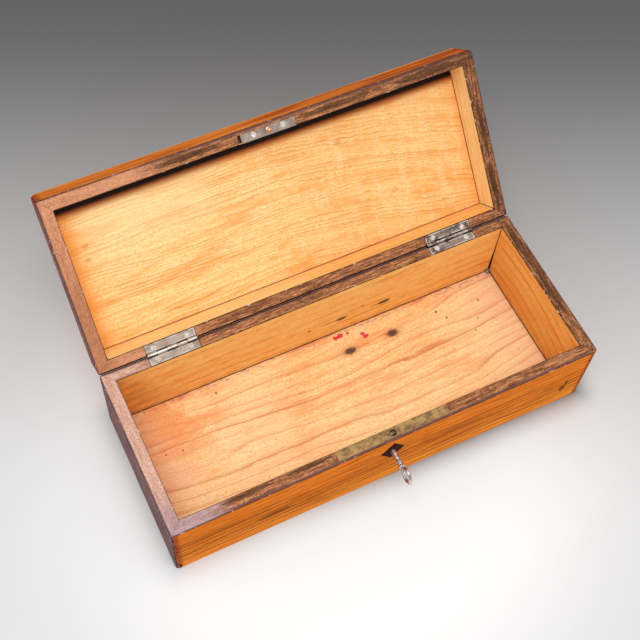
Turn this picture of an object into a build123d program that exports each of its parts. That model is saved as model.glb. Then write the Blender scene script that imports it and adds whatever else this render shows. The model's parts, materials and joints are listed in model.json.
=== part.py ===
from build123d import *
from math import radians, tan
import os

# An antique deed box: a long mitred box with a shallow hinged lid, two butt hinges
# let into the back rims, and a pin lock worked by a small pipe key.
# +X runs along the box to the right, -Y is the front, +Z is up.
# The origin is the centre of the underside. All sizes are in millimetres.

# The two halves of the box
LENGTH = 380
DEPTH = 150
BASE_H = 76
LID_H = 32
WALL = 11
BOTTOM_T = 6
LID_TOP_T = 6
CORNER_R = 3.2
LID_ROUND = 2.8
ARRIS_R = 0.5
REBATE = 5
NAIL_W = 2.2
NAIL_T = 1.4
NAIL_L = 16
NAIL_X = (35, 105, 160)
NAIL_Y = 35

# How the lid hangs: shut there is a hair of light between the rims, open it rests on
# two bevels planed on the back arrises, whose inner edges are eased into a dark groove
SHUT_GAP = 0.3
AXIS_INSET = 1.2
OPEN_ANGLE = 132
BEVEL_ANGLE = OPEN_ANGLE / 2 + 1
BEVEL_EASE = 1.2

# Butt hinges
HINGE_X = (-127, 131)
HINGE_L = 44
LEAF_T = 1.4
LEAF_W = 9.7
BARREL_R = 2.2
HINGE_PIN_R = 1.1
HINGE_PIN_FIT = 0.05
KNUCKLES = 5
KNUCKLE_GAP = 0.35
BARREL_ROOM = 0.3
HINGE_SCREW_X = 14.5
HINGE_SCREW_IN = 5.3

# Screws
SCREW_HEAD_R = 2.35
SCREW_R = 1.3
SCREW_L = 12
SCREW_SLOT_W = 0.7
SCREW_SLOT_D = 0.6

# Lock: the keyhole is on the box's centre and the lid pin stands a little to the right
KEY_X = 0
KEY_DROP = 21
PIN_X = 1.5
PIN_IN = 6.8
SELVAGE_L = 99
SELVAGE_W = 8.6
SELVAGE_T = 1.4
SELVAGE_HOLE_R = 2.8
LOCK_PLATE_L = 69
LOCK_PLATE_H = 36
LOCK_PLATE_T = 1.6
LOCK_SCREW_L = 8
LOCK_SCREW_EDGE = 3.7
LOCK_SCREW_Z = (48, 69)
CASE_LEFT = -25.3
CASE_RIGHT = 25.3
CASE_BOTTOM = 43
CASE_FRONT = 2.9
CASE_T = 0.9
MORTISE_ROOM = 0.2
STUMP_X = (-13, 13)
STUMP_UP = 11
STUMP_R = 1.3
DRILL_PIN_R = 1.25
CAP_SCREW_HEAD_R = 1.15
CAP_SCREW_R = 0.6
CAP_SCREW_L = 4
SPRING_T = 0.6
SPRING_HEEL_X = -14
SPRING_BELLY_X = -11.6
SPRING_TIP_X = -15
SPRING_GAP = 0.4

# Bolt: a flat slide with a forked flange that closes on the neck of the lid pin
BOLT_THROW = 6.5
BOLT_LEFT = -23.5
BOLT_RIGHT = 17
BOLT_T = 2
BOLT_BACK = 9
BOLT_RUN = 0.3
FORK_W = 4.6
FORK_SLOT_W = 2.8
FORK_T = 1.2
FORK_DROP = 1.6
FORK_CLEAR = 0.5
TALON_LOW = 5.2
TALON_HIGH = 9
TALON_HALF = 7.4

# Lid plate, in a recess cut a little too long at its left end, and its pin
LID_PLATE_L = 47.4
LID_PLATE_W = 7.4
LID_PLATE_T = 1.6
LID_PLATE_SPARE = 2.6
LID_PLATE_SCREW_X = 12.8
PIN_NECK_R = 1.1
PIN_HEAD_R = 2.3
PIN_BODY_L = 1.2
PIN_CONE_L = 0.4
PIN_NECK_L = 2.2
PIN_DOME_H = 1.9
PIN_TAIL_R = 1.4
PIN_TAIL_L = 3.8

# Escutcheon and key
DIAMOND_W = 22
DIAMOND_H = 29
DIAMOND_T = 0.8
KEYHOLE_R = 3.1
KEYHOLE_SLOT_W = 3
KEYHOLE_REACH = 9.2
KEY_R = 2.6
KEY_NECK_R = 2.1
COLLAR_OUT = 10.7
COLLAR_HALF = 0.9
COLLAR_R = 2.6
BEAD_OUT = 15.3
BEAD_HALF = 1.5
BEAD_R = 2.9
BOW_NECK_R = 1.6
BOW_NECK_OUT = 18.1
KEY_OUT = 31
KEY_MOUTH = 9.2
KEY_BORE_FIT = 0.07
KEY_BORE_L = 8
BIT_T = 2.2
BIT_REACH = 8.5
BIT_FRONT = 4.6
BIT_BACK = 9.1
WARD_IN = 6.3
WARD_W = 0.9
WARD_CUT = 3
BOW_LENGTH = 14
BOW_HEIGHT = 17
BOW_T = 2.6
BOW_WIRE = 2.5
BOW_ROUND = 1.15

# Places that follow from the sizes above
AXIS_Y = DEPTH / 2 - AXIS_INSET
AXIS_Z = BASE_H + SHUT_GAP / 2
LID_RIM_Z = BASE_H + SHUT_GAP
RAIL_TOP_Z = LID_RIM_Z + LID_H - LID_TOP_T
KEY_Z = BASE_H - KEY_DROP
STUMP_Z = KEY_Z + STUMP_UP
PIN_L = PIN_BODY_L + PIN_NECK_L + PIN_DOME_H
BEVEL_DROP = AXIS_INSET * tan(radians(BEVEL_ANGLE))
HINGE_AXIS = Axis((0, AXIS_Y, AXIS_Z), (1, 0, 0))
KEY_AXIS = Axis((KEY_X, 0, KEY_Z), (0, 1, 0))
PIN_AXIS = Axis((PIN_X, -DEPTH / 2 + PIN_IN, 0), (0, 0, 1))
PLATE_FRONT = WALL - LOCK_PLATE_T
INNER = (LENGTH - 2 * WALL, DEPTH - 2 * WALL)


def front_plane(depth):
    """The plane parallel to the front face, that far into the wood, looking out at the front."""
    return Plane.XZ.offset(DEPTH / 2 - depth)


def wedge(side):
    """The corners of the plan's quarter that one mitred board keeps, out to the 45 degree lines."""
    x, y = LENGTH / 2, DEPTH / 2
    return {
        "front": [(-x, -y), (x, -y), (x - y, 0), (y - x, 0)],
        "back": [(x, y), (-x, y), (y - x, 0), (x - y, 0)],
        "left": [(-x, y), (-x, -y), (y - x, 0)],
        "right": [(x, -y), (x, y), (x - y, 0)],
    }[side]


def countersunk(head_r, shank_r, length, slotted=True):
    """A blunt countersunk screw pointing down from the origin. Without its slot it is its own hole."""
    with BuildPart() as screw:
        with BuildSketch(Plane.XZ):
            with BuildLine():
                Polyline(
                    (0, 0),
                    (head_r, 0),
                    (shank_r, shank_r - head_r),
                    (shank_r, -length),
                    (0, -length),
                    close=True,
                )
            make_face()
        revolve(axis=Axis.Z)
        if slotted:
            with BuildSketch():
                Rectangle(3 * head_r, SCREW_SLOT_W * head_r / SCREW_HEAD_R)
            extrude(amount=-SCREW_SLOT_D * head_r / SCREW_HEAD_R, mode=Mode.SUBTRACT)
    return screw.part


# Two outlines that are cut more than once, drawn in the plane of the front face: the keyhole,
# a round hole with a slot hanging from it, and the diamond round it
with BuildSketch() as keyhole:
    with Locations((KEY_X, KEY_Z)):
        Circle(KEYHOLE_R)
        Rectangle(KEYHOLE_SLOT_W, KEYHOLE_REACH, align=(Align.CENTER, Align.MAX))

with BuildSketch() as diamond:
    with Locations((KEY_X, KEY_Z)):
        Polygon((-DIAMOND_W / 2, 0), (0, -DIAMOND_H / 2), (DIAMOND_W / 2, 0), (0, DIAMOND_H / 2))

wood_screw = countersunk(SCREW_HEAD_R, SCREW_R, SCREW_L)
wood_screw_hole = countersunk(SCREW_HEAD_R, SCREW_R, SCREW_L, slotted=False)
lock_screw = countersunk(SCREW_HEAD_R, SCREW_R, LOCK_SCREW_L)
lock_screw_hole = countersunk(SCREW_HEAD_R, SCREW_R, LOCK_SCREW_L, slotted=False)
cap_screw = countersunk(CAP_SCREW_HEAD_R, CAP_SCREW_R, CAP_SCREW_L)
cap_screw_hole = countersunk(CAP_SCREW_HEAD_R, CAP_SCREW_R, CAP_SCREW_L, slotted=False)

# Where each screw sits and how far its slot has been turned
base_hinge_spots = [
    (x + side * HINGE_SCREW_X, turn) for x, turns in zip(HINGE_X, ((35, 80), (-20, 55)))
    for side, turn in zip((-1, 1), turns)
]
lid_hinge_spots = [
    (x + side * HINGE_SCREW_X, turn) for x, turns in zip(HINGE_X, ((60, 15), (-40, 25)))
    for side, turn in zip((-1, 1), turns)
]
lid_plate_spots = [(PIN_X - LID_PLATE_SCREW_X, 40), (PIN_X + LID_PLATE_SCREW_X, -25)]
lock_screw_spots = [
    (PIN_X + side * (LOCK_PLATE_L / 2 - LOCK_SCREW_EDGE), z, turn)
    for z, turns in zip(LOCK_SCREW_Z, ((20, 75), (-35, 5)))
    for side, turn in zip((-1, 1), turns)
]

# The base: one ring of wall, rebated for the bottom and bevelled along the back, which the
# mitres divide into four boards
with BuildPart() as base_ring:
    with BuildSketch():
        RectangleRounded(LENGTH, DEPTH, CORNER_R)
        Rectangle(*INNER, mode=Mode.SUBTRACT)
    extrude(amount=BASE_H)
    with BuildSketch():
        Rectangle(INNER[0] + 2 * REBATE, INNER[1] + 2 * REBATE)
    extrude(amount=BOTTOM_T, mode=Mode.SUBTRACT)
    fillet(base_ring.faces().sort_by(Axis.Z)[-1].edges(), ARRIS_R)
    chamfer(base_ring.faces().sort_by(Axis.Z)[0].outer_wire().edges(), ARRIS_R)
    with BuildSketch(Plane.YZ):
        with BuildLine():
            Polyline(
                (AXIS_Y - BEVEL_EASE, BASE_H),
                (DEPTH, BASE_H),
                (DEPTH / 2, BASE_H - BEVEL_DROP),
                (AXIS_Y, BASE_H - BEVEL_EASE),
                close=True,
            )
        make_face()
    extrude(amount=LENGTH, both=True, mode=Mode.SUBTRACT)

with BuildPart() as front_board:
    add(base_ring.part)
    with BuildSketch():
        Polygon(*wedge("front"), align=None)
    extrude(amount=BASE_H, mode=Mode.INTERSECT)
    # the selvage's rebate in the rim and the lock plate's in the inner face
    with BuildSketch(Plane.XY.offset(BASE_H)):
        with Locations((PIN_X, -DEPTH / 2 + WALL)):
            Rectangle(SELVAGE_L, SELVAGE_W, align=(Align.CENTER, Align.MAX))
    extrude(amount=-SELVAGE_T, mode=Mode.SUBTRACT)
    with BuildSketch(front_plane(WALL)):
        with Locations((PIN_X, BASE_H)):
            Rectangle(LOCK_PLATE_L, LOCK_PLATE_H, align=(Align.CENTER, Align.MAX))
    extrude(amount=LOCK_PLATE_T, mode=Mode.SUBTRACT)
    # the mortise for the works
    with BuildSketch(front_plane(WALL)):
        with Locations(((CASE_LEFT + CASE_RIGHT) / 2, (CASE_BOTTOM + BASE_H) / 2 - MORTISE_ROOM)):
            Rectangle(CASE_RIGHT - CASE_LEFT + 2 * MORTISE_ROOM, BASE_H - CASE_BOTTOM)
    extrude(amount=WALL - CASE_FRONT + MORTISE_ROOM, mode=Mode.SUBTRACT)
    with BuildSketch(front_plane(0)):
        add(keyhole.sketch)
    extrude(amount=-WALL / 2, mode=Mode.SUBTRACT)
    with BuildSketch(front_plane(0)):
        add(diamond.sketch)
    extrude(amount=-DIAMOND_T, mode=Mode.SUBTRACT)
    for x, z, turn in lock_screw_spots:
        with Locations((x, -DEPTH / 2 + WALL, z)):
            add(lock_screw_hole, rotation=(-90, 0, 0), mode=Mode.SUBTRACT)

with BuildPart() as back_board:
    add(base_ring.part)
    with BuildSketch():
        Polygon(*wedge("back"), align=None)
    extrude(amount=BASE_H, mode=Mode.INTERSECT)
    for x in HINGE_X:
        with BuildSketch(Plane.XY.offset(BASE_H)):
            with Locations((x, AXIS_Y)):
                Rectangle(HINGE_L, LEAF_W, align=(Align.CENTER, Align.MAX))
        extrude(amount=-LEAF_T, mode=Mode.SUBTRACT)
        with BuildSketch(Plane.YZ.offset(x)):
            with Locations((AXIS_Y, AXIS_Z)):
                Circle(BARREL_R + BARREL_ROOM)
        extrude(amount=HINGE_L / 2, both=True, mode=Mode.SUBTRACT)
    for x, turn in base_hinge_spots:
        with Locations((x, AXIS_Y - HINGE_SCREW_IN, BASE_H)):
            add(wood_screw_hole, mode=Mode.SUBTRACT)

with BuildPart() as left_end:
    add(base_ring.part)
    with BuildSketch():
        Polygon(*wedge("left"), align=None)
    extrude(amount=BASE_H, mode=Mode.INTERSECT)

with BuildPart() as right_end:
    add(base_ring.part)
    with BuildSketch():
        Polygon(*wedge("right"), align=None)
    extrude(amount=BASE_H, mode=Mode.INTERSECT)

# The bottom lies in the rebate, held by cut nails driven up from below
nail_x = LENGTH / 2 - WALL + REBATE / 2
nail_y = DEPTH / 2 - WALL + REBATE / 2
nail_spots = [(sx * x, sy * nail_y) for x in NAIL_X for sx in (-1, 1) for sy in (-1, 1)]
nail_spots += [(sx * nail_x, sy * NAIL_Y) for sx in (-1, 1) for sy in (-1, 1)]

with BuildPart() as bottom_board:
    with BuildSketch():
        Rectangle(INNER[0] + 2 * REBATE, INNER[1] + 2 * REBATE)
    extrude(amount=BOTTOM_T)
    with BuildSketch():
        with Locations(*nail_spots):
            Rectangle(NAIL_W, NAIL_T)
    extrude(amount=BOTTOM_T, mode=Mode.SUBTRACT)

with BuildPart() as bottom_nails:
    with BuildSketch():
        with Locations(*nail_spots):
            Rectangle(NAIL_W, NAIL_T)
    extrude(amount=NAIL_L)

for board in (front_board, back_board, left_end, right_end):
    with board:
        add(bottom_nails.part, mode=Mode.SUBTRACT)


# The lid is drawn shut and swung open at the end
with BuildPart() as lid_ring:
    with BuildSketch(Plane.XY.offset(LID_RIM_Z)):
        RectangleRounded(LENGTH, DEPTH, CORNER_R)
        Rectangle(*INNER, mode=Mode.SUBTRACT)
    extrude(amount=LID_H - LID_TOP_T)
    fillet(lid_ring.faces().sort_by(Axis.Z)[0].edges(), ARRIS_R)
    with BuildSketch(Plane.YZ):
        with BuildLine():
            Polyline(
                (AXIS_Y - BEVEL_EASE, LID_RIM_Z),
                (DEPTH, LID_RIM_Z),
                (DEPTH / 2, LID_RIM_Z + BEVEL_DROP),
                (AXIS_Y, LID_RIM_Z + BEVEL_EASE),
                close=True,
            )
        make_face()
    extrude(amount=LENGTH, both=True, mode=Mode.SUBTRACT)

with BuildPart() as lid_front_rail:
    add(lid_ring.part)
    with BuildSketch(Plane.XY.offset(LID_RIM_Z)):
        Polygon(*wedge("front"), align=None)
    extrude(amount=LID_H, mode=Mode.INTERSECT)
    with BuildSketch(Plane.XY.offset(LID_RIM_Z)):
        with Locations((PIN_X, -DEPTH / 2 + WALL)):
            Rectangle(LID_PLATE_L, LID_PLATE_W, align=(Align.CENTER, Align.MAX))
        with Locations((PIN_X - LID_PLATE_L / 2, -DEPTH / 2 + WALL)):
            Rectangle(LID_PLATE_SPARE, LID_PLATE_W, align=(Align.MAX, Align.MAX))
    extrude(amount=LID_PLATE_T, mode=Mode.SUBTRACT)
    with BuildSketch(Plane.XY.offset(LID_RIM_Z)):
        with Locations((PIN_X, -DEPTH / 2 + PIN_IN)):
            Circle(PIN_TAIL_R)
    extrude(amount=PIN_TAIL_L, mode=Mode.SUBTRACT)
    for x, turn in lid_plate_spots:
        with Locations((x, -DEPTH / 2 + PIN_IN, LID_RIM_Z)):
            add(wood_screw_hole, rotation=(180, 0, 0), mode=Mode.SUBTRACT)

with BuildPart() as lid_back_rail:
    add(lid_ring.part)
    with BuildSketch(Plane.XY.offset(LID_RIM_Z)):
        Polygon(*wedge("back"), align=None)
    extrude(amount=LID_H, mode=Mode.INTERSECT)
    for x in HINGE_X:
        with BuildSketch(Plane.XY.offset(LID_RIM_Z)):
            with Locations((x, AXIS_Y)):
                Rectangle(HINGE_L, LEAF_W, align=(Align.CENTER, Align.MAX))
        extrude(amount=LEAF_T, mode=Mode.SUBTRACT)
        with BuildSketch(Plane.YZ.offset(x)):
            with Locations((AXIS_Y, AXIS_Z)):
                Circle(BARREL_R + BARREL_ROOM)
        extrude(amount=HINGE_L / 2, both=True, mode=Mode.SUBTRACT)
    for x, turn in lid_hinge_spots:
        with Locations((x, AXIS_Y - HINGE_SCREW_IN, LID_RIM_Z)):
            add(wood_screw_hole, rotation=(180, 0, 0), mode=Mode.SUBTRACT)

with BuildPart() as lid_left_rail:
    add(lid_ring.part)
    with BuildSketch(Plane.XY.offset(LID_RIM_Z)):
        Polygon(*wedge("left"), align=None)
    extrude(amount=LID_H, mode=Mode.INTERSECT)

with BuildPart() as lid_right_rail:
    add(lid_ring.part)
    with BuildSketch(Plane.XY.offset(LID_RIM_Z)):
        Polygon(*wedge("right"), align=None)
    extrude(amount=LID_H, mode=Mode.INTERSECT)

with BuildPart() as lid_top:
    with BuildSketch(Plane.XY.offset(RAIL_TOP_Z)):
        RectangleRounded(LENGTH, DEPTH, CORNER_R)
    extrude(amount=LID_TOP_T)
    fillet(lid_top.faces().sort_by(Axis.Z)[-1].edges(), LID_ROUND)


def hinge_leaf(x, lid_side):
    """One leaf of a butt hinge: a plate flush with its rim and every other knuckle of the barrel."""
    up = 1 if lid_side else -1
    rim_z = LID_RIM_Z if lid_side else BASE_H
    pitch = HINGE_L / KNUCKLES
    own = range(1, KNUCKLES, 2) if lid_side else range(0, KNUCKLES, 2)
    centres = [x - HINGE_L / 2 + (i + 0.5) * pitch for i in own]
    bore = HINGE_PIN_R + (HINGE_PIN_FIT if lid_side else 0)
    spots = lid_hinge_spots if lid_side else base_hinge_spots
    with BuildPart() as leaf:
        with BuildSketch(Plane.XY.offset(rim_z)):
            with Locations((x, AXIS_Y - LEAF_W)):
                Rectangle(HINGE_L, LEAF_W - BARREL_R - BARREL_ROOM, align=(Align.CENTER, Align.MIN))
            for centre in centres:
                with Locations((centre, AXIS_Y)):
                    Rectangle(pitch - KNUCKLE_GAP, LEAF_W, align=(Align.CENTER, Align.MAX))
        extrude(amount=up * LEAF_T)
        for centre in centres:
            with BuildSketch(Plane.YZ.offset(centre)):
                with Locations((AXIS_Y, AXIS_Z)):
                    Circle(BARREL_R)
            extrude(amount=(pitch - KNUCKLE_GAP) / 2, both=True)
        with BuildSketch(Plane.YZ.offset(x)):
            with Locations((AXIS_Y, AXIS_Z)):
                Circle(bore)
        extrude(amount=HINGE_L, both=True, mode=Mode.SUBTRACT)
        for screw_x, turn in spots:
            with Locations((screw_x, AXIS_Y - HINGE_SCREW_IN, rim_z)):
                add(wood_screw_hole, rotation=(180 if lid_side else 0, 0, 0), mode=Mode.SUBTRACT)
    return leaf


def hinge_pin(x):
    """The wire that a butt hinge turns on, its ends just inside the barrel."""
    with BuildPart() as pin:
        with BuildSketch(Plane.YZ.offset(x)):
            with Locations((AXIS_Y, AXIS_Z)):
                Circle(HINGE_PIN_R)
        extrude(amount=HINGE_L / 2 - KNUCKLE_GAP / 2, both=True)
    return pin


left_hinge_base_leaf, right_hinge_base_leaf = [hinge_leaf(x, False) for x in HINGE_X]
left_hinge_lid_leaf, right_hinge_lid_leaf = [hinge_leaf(x, True) for x in HINGE_X]
left_hinge_pin, right_hinge_pin = [hinge_pin(x) for x in HINGE_X]

with BuildPart() as base_hinge_screws:
    for x, turn in base_hinge_spots:
        with Locations((x, AXIS_Y - HINGE_SCREW_IN, BASE_H)):
            add(wood_screw, rotation=(0, 0, turn))

with BuildPart() as lid_hinge_screws:
    for x, turn in lid_hinge_spots:
        with Locations((x, AXIS_Y - HINGE_SCREW_IN, LID_RIM_Z)):
            add(wood_screw, rotation=(180, 0, turn))

# Lock plate: the selvage let into the rim and the back plate that stands flush with the inside
with BuildPart() as lock_plate:
    with BuildSketch(Plane.XY.offset(BASE_H)):
        with Locations((PIN_X, -DEPTH / 2 + WALL)):
            Rectangle(SELVAGE_L, SELVAGE_W, align=(Align.CENTER, Align.MAX))
    extrude(amount=-SELVAGE_T)
    with BuildSketch(front_plane(WALL)):
        with Locations((PIN_X, BASE_H)):
            Rectangle(LOCK_PLATE_L, LOCK_PLATE_H, align=(Align.CENTER, Align.MAX))
    extrude(amount=LOCK_PLATE_T)
    with BuildSketch(Plane.XY.offset(BASE_H)):
        with Locations((PIN_X, -DEPTH / 2 + PIN_IN)):
            Circle(SELVAGE_HOLE_R)
    extrude(amount=-SELVAGE_T, mode=Mode.SUBTRACT)
    hole_rim = lock_plate.edges().filter_by(GeomType.CIRCLE).group_by(Axis.Z)[-1]
    chamfer(hole_rim, SELVAGE_T / 2, SELVAGE_T / 3)
    with BuildSketch(front_plane(WALL)):
        with Locations((KEY_X, KEY_Z)):
            Circle(DRILL_PIN_R)
    extrude(amount=LOCK_PLATE_T, mode=Mode.SUBTRACT)
    for x, z, turn in lock_screw_spots:
        with Locations((x, -DEPTH / 2 + WALL, z)):
            add(lock_screw_hole, rotation=(-90, 0, 0), mode=Mode.SUBTRACT)

with BuildPart() as lock_screws:
    for x, z, turn in lock_screw_spots:
        with Locations((x, -DEPTH / 2 + WALL, z)):
            add(lock_screw, rotation=(-90, 0, turn))

# Lock cap: a shallow tray over the works, open at the top under the selvage
with BuildPart() as lock_cap:
    with BuildSketch(front_plane(CASE_FRONT)):
        with Locations((CASE_LEFT, CASE_BOTTOM)):
            Rectangle(
                CASE_RIGHT - CASE_LEFT, BASE_H - SELVAGE_T - CASE_BOTTOM, align=(Align.MIN, Align.MIN)
            )
    extrude(amount=CASE_FRONT - PLATE_FRONT)
    with BuildSketch(front_plane(CASE_FRONT + CASE_T)):
        with Locations((CASE_LEFT + CASE_T, CASE_BOTTOM + CASE_T)):
            Rectangle(CASE_RIGHT - CASE_LEFT - 2 * CASE_T, BASE_H, align=(Align.MIN, Align.MIN))
    extrude(amount=-WALL, mode=Mode.SUBTRACT)
    with BuildSketch(front_plane(CASE_FRONT)):
        add(keyhole.sketch)
    extrude(amount=-CASE_T, mode=Mode.SUBTRACT)
    for x in STUMP_X:
        with Locations((x, -DEPTH / 2 + CASE_FRONT, STUMP_Z)):
            add(cap_screw_hole, rotation=(90, 0, 0), mode=Mode.SUBTRACT)

with BuildPart() as bolt_stumps:
    with BuildSketch(front_plane(CASE_FRONT + CASE_T)):
        with Locations(*[(x, STUMP_Z) for x in STUMP_X]):
            Circle(STUMP_R)
    extrude(amount=CASE_FRONT + CASE_T - PLATE_FRONT)
    for x in STUMP_X:
        with Locations((x, -DEPTH / 2 + CASE_FRONT, STUMP_Z)):
            add(cap_screw_hole, rotation=(90, 0, 0), mode=Mode.SUBTRACT)

with BuildPart() as cap_screws:
    for x, turn in zip(STUMP_X, (30, -50)):
        with Locations((x, -DEPTH / 2 + CASE_FRONT, STUMP_Z)):
            add(cap_screw, rotation=(90, 0, turn))

with BuildPart() as drill_pin:
    with BuildSketch(front_plane(WALL)):
        with Locations((KEY_X, KEY_Z)):
            Circle(DRILL_PIN_R)
    extrude(amount=KEY_MOUTH)
    chamfer(drill_pin.faces().sort_by(Axis.Y)[0].edges(), DRILL_PIN_R / 2)

# Bolt spring: a bowed steel leaf that stands on the case's floor and steadies the bolt
spring_foot_z = CASE_BOTTOM + CASE_T + SPRING_T / 2
spring_tip_z = KEY_Z + TALON_LOW - SPRING_GAP - SPRING_T / 2

with BuildPart() as bolt_spring:
    with BuildSketch(front_plane(BOLT_BACK)):
        with BuildLine():
            foot = Line((CASE_LEFT + CASE_T + SPRING_T, spring_foot_z), (SPRING_HEEL_X, spring_foot_z))
            ThreePointArc(
                foot @ 1, (SPRING_BELLY_X, (spring_foot_z + spring_tip_z) / 2), (SPRING_TIP_X, spring_tip_z)
            )
            offset(amount=SPRING_T / 2, side=Side.BOTH)
        make_face()
    extrude(amount=BOLT_T)

# The bolt, drawn back clear of the lid pin's hole
fork_top = BASE_H - FORK_DROP
fork_tip = PIN_X - PIN_HEAD_R - FORK_CLEAR
fork_root = PIN_X - PIN_NECK_R - BOLT_RUN - BOLT_THROW
talon_x = KEY_X - BOLT_THROW / 2
shoulder_z = LID_RIM_Z - PIN_L - BOLT_RUN

with BuildPart() as lock_bolt:
    with BuildSketch(front_plane(BOLT_BACK)):
        with BuildLine():
            Polyline(
                (BOLT_LEFT, KEY_Z + TALON_LOW),
                (BOLT_RIGHT, KEY_Z + TALON_LOW),
                (BOLT_RIGHT, shoulder_z),
                (fork_root - FORK_T, shoulder_z),
                (fork_root - FORK_T, fork_top),
                (BOLT_LEFT, fork_top),
                close=True,
            )
        make_face()
        with Locations((talon_x, KEY_Z)):
            Rectangle(2 * TALON_HALF, TALON_HIGH, align=(Align.CENTER, Align.MIN), mode=Mode.SUBTRACT)
        with Locations(*[(x - BOLT_THROW / 2, STUMP_Z) for x in STUMP_X]):
            SlotCenterToCenter(BOLT_THROW, 2 * (STUMP_R + BOLT_RUN), mode=Mode.SUBTRACT)
    extrude(amount=BOLT_T)
    with BuildSketch(Plane.XY.offset(fork_top)):
        with Locations((fork_tip, -DEPTH / 2 + PIN_IN)):
            Rectangle(fork_tip - BOLT_LEFT, FORK_W, align=(Align.MAX, Align.CENTER))
            Rectangle(
                fork_tip - fork_root - FORK_SLOT_W / 2, FORK_SLOT_W,
                align=(Align.MAX, Align.CENTER), mode=Mode.SUBTRACT,
            )
        with Locations((fork_root + FORK_SLOT_W / 2, -DEPTH / 2 + PIN_IN)):
            Circle(FORK_SLOT_W / 2, mode=Mode.SUBTRACT)
    extrude(amount=-FORK_T)

# Escutcheon: a thin dark diamond let in flush round the keyhole
with BuildPart() as escutcheon:
    with BuildSketch(front_plane(0)):
        add(diamond.sketch)
        add(keyhole.sketch, mode=Mode.SUBTRACT)
    extrude(amount=-DIAMOND_T)

# Pipe key: turned shank and beads, a filed bit that hangs down, and a forged loop for a bow
key_plane = Plane((KEY_X, -DEPTH / 2, KEY_Z), x_dir=(0, -1, 0), z_dir=(-1, 0, 0))
bow_centre = KEY_OUT - BOW_LENGTH / 2
bow_straight = BOW_HEIGHT - BOW_LENGTH

with BuildPart() as key:
    with BuildSketch(key_plane):
        with Locations((bow_centre, 0)):
            SlotCenterToCenter(bow_straight, BOW_LENGTH, rotation=90)
            SlotCenterToCenter(bow_straight, BOW_LENGTH - 2 * BOW_WIRE, rotation=90, mode=Mode.SUBTRACT)
    extrude(amount=BOW_T / 2, both=True)
    fillet(key.edges().filter_by(Plane.YZ), BOW_ROUND)
    with BuildSketch(key_plane):
        with BuildLine():
            stem = Polyline(
                (-KEY_MOUTH, 0), (-KEY_MOUTH, KEY_R), (0, KEY_R), (COLLAR_OUT - COLLAR_HALF, KEY_NECK_R)
            )
            collar = ThreePointArc(
                stem @ 1, (COLLAR_OUT, COLLAR_R), (COLLAR_OUT + COLLAR_HALF, KEY_NECK_R)
            )
            neck = Line(collar @ 1, (BEAD_OUT - BEAD_HALF, KEY_NECK_R))
            bead = ThreePointArc(neck @ 1, (BEAD_OUT, BEAD_R), (BEAD_OUT + BEAD_HALF, BOW_NECK_R))
            Polyline(bead @ 1, (BOW_NECK_OUT, BOW_NECK_R), (BOW_NECK_OUT, 0), stem @ 0)
        make_face()
    revolve(axis=KEY_AXIS)
    with BuildSketch(front_plane(BIT_BACK)):
        with Locations((KEY_X, KEY_Z)):
            Rectangle(BIT_T, BIT_REACH, align=(Align.CENTER, Align.MAX))
    extrude(amount=BIT_BACK - BIT_FRONT)
    with BuildSketch(key_plane):
        with Locations((-WARD_IN, -BIT_REACH)):
            Rectangle(WARD_W, WARD_CUT, align=(Align.CENTER, Align.MIN))
    extrude(amount=BIT_T, both=True, mode=Mode.SUBTRACT)
    with BuildSketch(front_plane(KEY_MOUTH)):
        with Locations((KEY_X, KEY_Z)):
            Circle(DRILL_PIN_R + KEY_BORE_FIT)
    extrude(amount=KEY_BORE_L, mode=Mode.SUBTRACT)

with BuildPart() as lid_plate:
    with BuildSketch(Plane.XY.offset(LID_RIM_Z)):
        with Locations((PIN_X, -DEPTH / 2 + WALL)):
            Rectangle(LID_PLATE_L, LID_PLATE_W, align=(Align.CENTER, Align.MAX))
        with Locations((PIN_X, -DEPTH / 2 + PIN_IN)):
            Circle(PIN_TAIL_R, mode=Mode.SUBTRACT)
    extrude(amount=LID_PLATE_T)
    for x, turn in lid_plate_spots:
        with Locations((x, -DEPTH / 2 + PIN_IN, LID_RIM_Z)):
            add(wood_screw_hole, rotation=(180, 0, 0), mode=Mode.SUBTRACT)

with BuildPart() as lid_plate_screws:
    for x, turn in lid_plate_spots:
        with Locations((x, -DEPTH / 2 + PIN_IN, LID_RIM_Z)):
            add(wood_screw, rotation=(180, 0, turn))

# Lid pin: turned in one piece, with a tail riveted through the plate, a neck for the fork
# and a domed head
dome_r = (PIN_HEAD_R**2 + PIN_DOME_H**2) / (2 * PIN_DOME_H)

with BuildPart() as lid_pin:
    with BuildSketch(Plane((PIN_X, -DEPTH / 2 + PIN_IN, LID_RIM_Z), x_dir=(1, 0, 0), z_dir=(0, 1, 0))):
        with BuildLine():
            side = Polyline(
                (0, -PIN_TAIL_L),
                (PIN_TAIL_R, -PIN_TAIL_L),
                (PIN_TAIL_R, 0),
                (PIN_HEAD_R, 0),
                (PIN_HEAD_R, PIN_BODY_L),
                (PIN_NECK_R, PIN_BODY_L + PIN_CONE_L),
                (PIN_NECK_R, PIN_BODY_L + PIN_NECK_L),
                (PIN_HEAD_R, PIN_BODY_L + PIN_NECK_L),
            )
            dome = RadiusArc(side @ 1, (0, PIN_L), -dome_r)
            Line(dome @ 1, side @ 0)
        make_face()
    revolve(axis=PIN_AXIS)

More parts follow.
